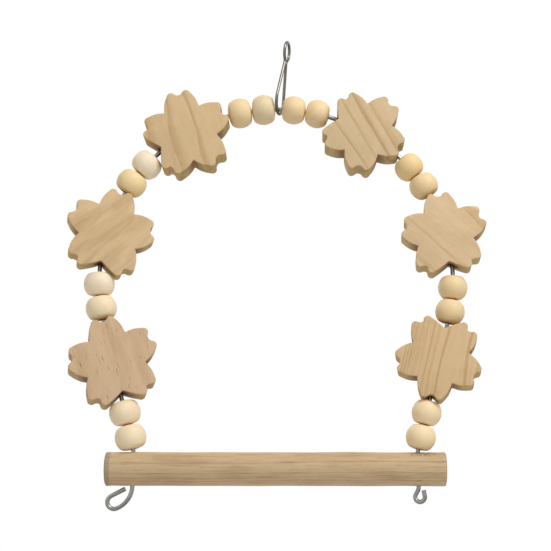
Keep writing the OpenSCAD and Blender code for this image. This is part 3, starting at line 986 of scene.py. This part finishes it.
class SWING_OT_flowers(bpy.types.Operator):
    """Saw the flowers: five notched petals, sanded edges and a drilled hole"""

    bl_idname = "swing.flowers"
    bl_label = "Flowers"

    def half_petal(self, wood, fullness):
        """Half of a petal that points along X: the valley, the side, a corner and half the notch."""
        corner = Vector((wood.flower_r - wood.corner_r, wood.corner_offset + fullness))
        dx, r = corner.x - wood.notch_r, wood.corner_r
        notch_arc = (dx ** 2 + corner.y ** 2 - r ** 2) / (2 * (r + dx))
        notch_x = wood.notch_r + notch_arc
        notch = math.atan2(-corner.y, notch_x - corner.x)
        valley = wood.valley_r * facing(HALF_TURN / PETALS)
        away = corner - valley
        slope = math.atan2(away.y, away.x) + math.asin(r / away.length)
        side = math.sqrt(away.length ** 2 - r ** 2)
        ahead = facing(slope)
        out = Vector((-ahead.y, ahead.x))
        bow = 4 * (wood.petal_bow + fullness / 2)
        points = []
        for i in range(SIDE_STEPS):
            along = i / SIDE_STEPS
            points.append(valley + ahead * along * side + out * bow * along * (1 - along))
        # The cutter leaves the bottom of the valley round
        points[0] = points[0] * (1 + wood.valley_round / wood.valley_r)
        for i in range(CORNER_STEPS + 1):
            turn = slope + QUARTER_TURN + (notch - slope - QUARTER_TURN) * i / CORNER_STEPS
            points.append(corner + r * facing(turn))
        for i in range(1, NOTCH_STEPS):
            turn = HALF_TURN + notch * (1 - i / NOTCH_STEPS)
            points.append(Vector((notch_x, 0)) + notch_arc * facing(turn))
        return points

    def outline(self, wood, wobble):
        """The points of a flower whose drilled valley, with its two slimmer sides, lies along X."""
        points = []
        for k in range(PETALS):
            first = self.half_petal(wood, 0 if k == 0 else wood.petal_fullness)
            second = self.half_petal(wood, 0 if k == PETALS - 1 else wood.petal_fullness)
            petal = [Vector((p.x, -p.y)) for p in first] + [Vector((wood.notch_r, 0))] + second[:0:-1]
            turn = Matrix.Rotation(FULL_TURN * (k + 0.5) / PETALS, 2)
            points += [turn @ p for p in petal]
        strays = [noise.noise(Vector((p.x * STRAYS, p.y * STRAYS, wobble))) for p in points]
        return [p * (1 + STRAY_SHARE * stray) for p, stray in zip(points, strays)]

    def sawn(self, name, wood, wobble):
        """One flower in its own plane, with its thickness along Z."""
        outline = [(point.x, point.y, -wood.flower_t / 2) for point in self.outline(wood, wobble)]
        piece = draw(name, outline, "NGON")
        bpy.ops.mesh.extrude_region_move(TRANSFORM_OT_translate={"value": (0, 0, wood.flower_t)})
        outward(piece)
        round_edges(piece, wood.edge_round)
        return piece

    def execute(self, context):
        wood = swing().wood
        for number, (node, (turn, spin, valley_up, grain)) in enumerate(FLOWERS.items()):
            piece = self.sawn(f"sawn_{node}", wood, number * STRAY_STEP)
            along, middle = joint_axis(node), joint_place(node)
            side, size = (-1, wood.left_size) if "left" in node else (1, 1)
            out = side * along.cross(BACK)
            roll = math.radians(spin)
            deep = BACK * math.cos(roll) + out * math.sin(roll)
            out = out * math.cos(roll) - BACK * math.sin(roll)
            swivel = math.radians((180 if valley_up else 0) - turn)
            first = along * math.cos(swivel) - out * math.sin(swivel)
            second = along * math.sin(swivel) + out * math.cos(swivel)
            stretch = Matrix.Diagonal((size, size, 1, 1))
            piece.matrix_world = basis(first, second, -deep, middle) @ stretch
            settle(piece)
            outward(piece)
            reach = along * wood.flower_r * DRILL_REACH_SHARE
            drill(piece, middle - reach, middle + reach, wood.flower_bore_d)
            smooth(piece, degrees=32)
            material = self.finish(node, middle, deep, math.radians(grain), size)
            finish_piece(piece, node, material)
        return {"FINISHED"}

    def finish(self, node, middle, deep, grain_angle, size):
        wood, tint = swing().wood, swing().finish
        heart, spacing, ring_share, blotch_share, pore_share, own_tint = FLOWER_WOOD[node]
        shade = Shade(f"{node} wood", roughness=0.72)
        level = (RIGHT - deep * RIGHT.dot(deep)).normalized()
        upright = -deep.cross(level)
        along = level * math.cos(grain_angle) + upright * math.sin(grain_angle)
        across = deep.cross(along)
        heart = middle + (across * heart[0] + deep * heart[1]) * MM
        grain = shade.within(basis(across, deep, along, heart))
        seed = float(sum(map(ord, node)) % 50)
        light, dark = tinted(tint.flower_light, own_tint), tinted(tint.flower_dark, own_tint)
        tone, fibre = wood_colour(
            shade, grain, light, dark, spacing, ring_share, blotch_share, FLOWER_FIBRE_SHARE, seed)
        pores = shade.stretched(grain, PORES, detail=1.0, offset=(seed, seed, 0))
        open_pores = shade.step(pores, *IN_PORE, to_high=pore_share)
        tone = shade.mix(shade.times(open_pores, 0.7), tone, tint.pore)
        own = shade.within(basis(level, deep, upright, middle))
        x, y, z = shade.apart(own)
        half, valley_r = wood.flower_t / 2 / MM, wood.valley_r * size / MM
        wall = shade.step(shade.math("ABSOLUTE", y), half - SAWN_FROM[0], half - SAWN_FROM[1])
        # The sawn sides darken towards each valley: saw scorch and painted shade
        valley = shade.step(shade.reach(x, z), valley_r + SCORCHED_AND_SHADED_FROM[0], valley_r + SCORCHED_AND_SHADED_FROM[1])
        saw = shade.stretched(own, SAW_MARKS, detail=3.0, offset=(seed, 0, 0))
        marks = shade.step(saw, *IN_SAW_MARK, to_high=0.5)
        sawn = shade.mix(marks, tint.sawn, tinted(tint.sawn, 3 * [SAW_MARK_SHARE]))
        sawn = shade.mix(valley, sawn, tint.scorched_and_shaded)
        shade.to("Base Color", shade.mix(wall, tone, shade.mix(1.0, tone, sawn, "MULTIPLY")))
        height = shade.minus(shade.times(fibre, 0.5), open_pores)
        normal = shade.bump(height, strength=0.35, distance=GRAIN_DEPTH)
        sides = shade.times(saw, wall)
        shade.to("Normal", shade.bump(sides, strength=0.6, distance=SAW_DEPTH, normal=normal))
        shade.to("Roughness", shade.step(fibre, *MOST, *FLOWER_ROUGHNESS))
        return shade.material


NEAREST_SEEN = 0.01
# Each lamp's width and place, in metres from the hanging point
LAMPS = {
    "key": (0.45, (0.35, -0.45, 0.45)),
    "fill": (0.6, (-0.6, -0.5, 0.25)),
    "back": (0.6, (-0.4, 0.6, 0.3)),
}


class SWING_OT_stage(bpy.types.Operator):
    """Set up the camera, the lamps, the pale floor and the white surroundings"""

    bl_idname = "swing.stage"
    bl_label = "Stage"

    def put(self, data, place, turn):
        thing = bpy.data.objects.new(data.name, data)
        thing.matrix_world = Matrix.Translation(place) @ turn
        bpy.context.scene.collection.objects.link(thing)
        return thing

    def camera(self, stage):
        data = bpy.data.cameras.new("camera")
        data.lens = stage.camera_lens
        data.clip_start = NEAREST_SEEN
        turn = (Matrix.Rotation(stage.camera_yaw, 4, "Z") @ Matrix.Rotation(stage.camera_pitch, 4, "X")
                @ Matrix.Rotation(stage.camera_roll, 4, "Y") @ Matrix.Rotation(QUARTER_TURN, 4, "X"))
        bpy.context.scene.camera = self.put(data, stage.camera_place, turn)

    def lamp(self, name, power, size, place, target):
        data = bpy.data.lights.new(name, "AREA")
        data.energy = power
        data.size = size
        turn = (target - Vector(place)).to_track_quat("-Z", "Y")
        self.put(data, place, turn.to_matrix().to_4x4())

    def floor(self, stage, low):
        deselect()
        bpy.ops.mesh.primitive_plane_add(size=stage.floor_size, location=(0, 0, low.z - stage.floor_drop))
        floor = new_piece("floor")
        settle(floor)
        shade = Shade("pale floor", roughness=0.8)
        shade.shader.inputs["Base Color"].default_value = (*stage.floor_tint, 1)
        floor.data.materials.append(shade.material)

    def surroundings(self, stage):
        world = bpy.data.worlds.new("studio")
        bpy.context.scene.world = world
        world.use_nodes = True
        world.node_tree.nodes.clear()
        sky = Nodes(world.node_tree)
        rays = sky.add("ShaderNodeLightPath").outputs
        seen = rays["Is Camera Ray"]
        for other in ("Is Glossy Ray", "Is Transmission Ray"):
            seen = sky.math("MAXIMUM", seen, rays[other])
        tint = (*stage.ambient_tint, 1)
        ambient = sky.add("ShaderNodeBackground", {"Color": tint, "Strength": stage.ambient})
        white = sky.add("ShaderNodeBackground", {"Color": (1, 1, 1, 1), "Strength": 1.0})
        mix = sky.add("ShaderNodeMixShader", {0: seen, 1: ambient.outputs[0], 2: white.outputs[0]})
        sky.add("ShaderNodeOutputWorld", {0: mix.outputs[0]})

    def execute(self, context):
        stage = swing().stage
        low, high = CAD_BOX
        middle = (low + high) / 2
        self.camera(stage)
        self.floor(stage, low)
        for name, (size, place) in LAMPS.items():
            self.lamp(name, getattr(stage, f"{name}_power"), size, place, middle)
        self.surroundings(stage)
        context.scene.view_settings.view_transform = "Standard"
        return {"FINISHED"}


class SWING_PT_panel(bpy.types.Panel):
    """Lists the settings and the steps of the bird swing"""

    bl_idname = "SWING_PT_panel"
    bl_label = "Bird Swing"
    bl_space_type = "VIEW_3D"
    bl_region_type = "UI"
    bl_category = "Bird Swing"

    def draw(self, context):
        settings = context.scene.bird_swing
        for group in (settings.wire, settings.wood, settings.finish, settings.stage):
            box = self.layout.box()
            for name in group.__annotations__:
                box.prop(group, name)
        self.layout.prop(settings, "seed")
        for step in STEPS:
            self.layout.operator(step.bl_idname)


STEPS = (
    SWING_OT_stage,
    SWING_OT_hanging_hook,
    SWING_OT_hoop_wire,
    SWING_OT_perch,
    SWING_OT_beads,
    SWING_OT_flowers,
)
CLASSES = (WireSizes, WoodSizes, Finishes, StageSettings, BirdSwing, *STEPS, SWING_PT_panel)


def register():
    for each in CLASSES:
        bpy.utils.register_class(each)
    bpy.types.Scene.bird_swing = PointerProperty(type=BirdSwing)


def unregister():
    del bpy.types.Scene.bird_swing
    for each in reversed(CLASSES):
        bpy.utils.unregister_class(each)


def main():
    register()
    bpy.ops.swing.stage()
    bpy.ops.swing.hanging_hook()
    bpy.ops.swing.hoop_wire()
    bpy.ops.swing.perch()
    bpy.ops.swing.beads()
    bpy.ops.swing.flowers()


if __name__ == "__main__":
    main()
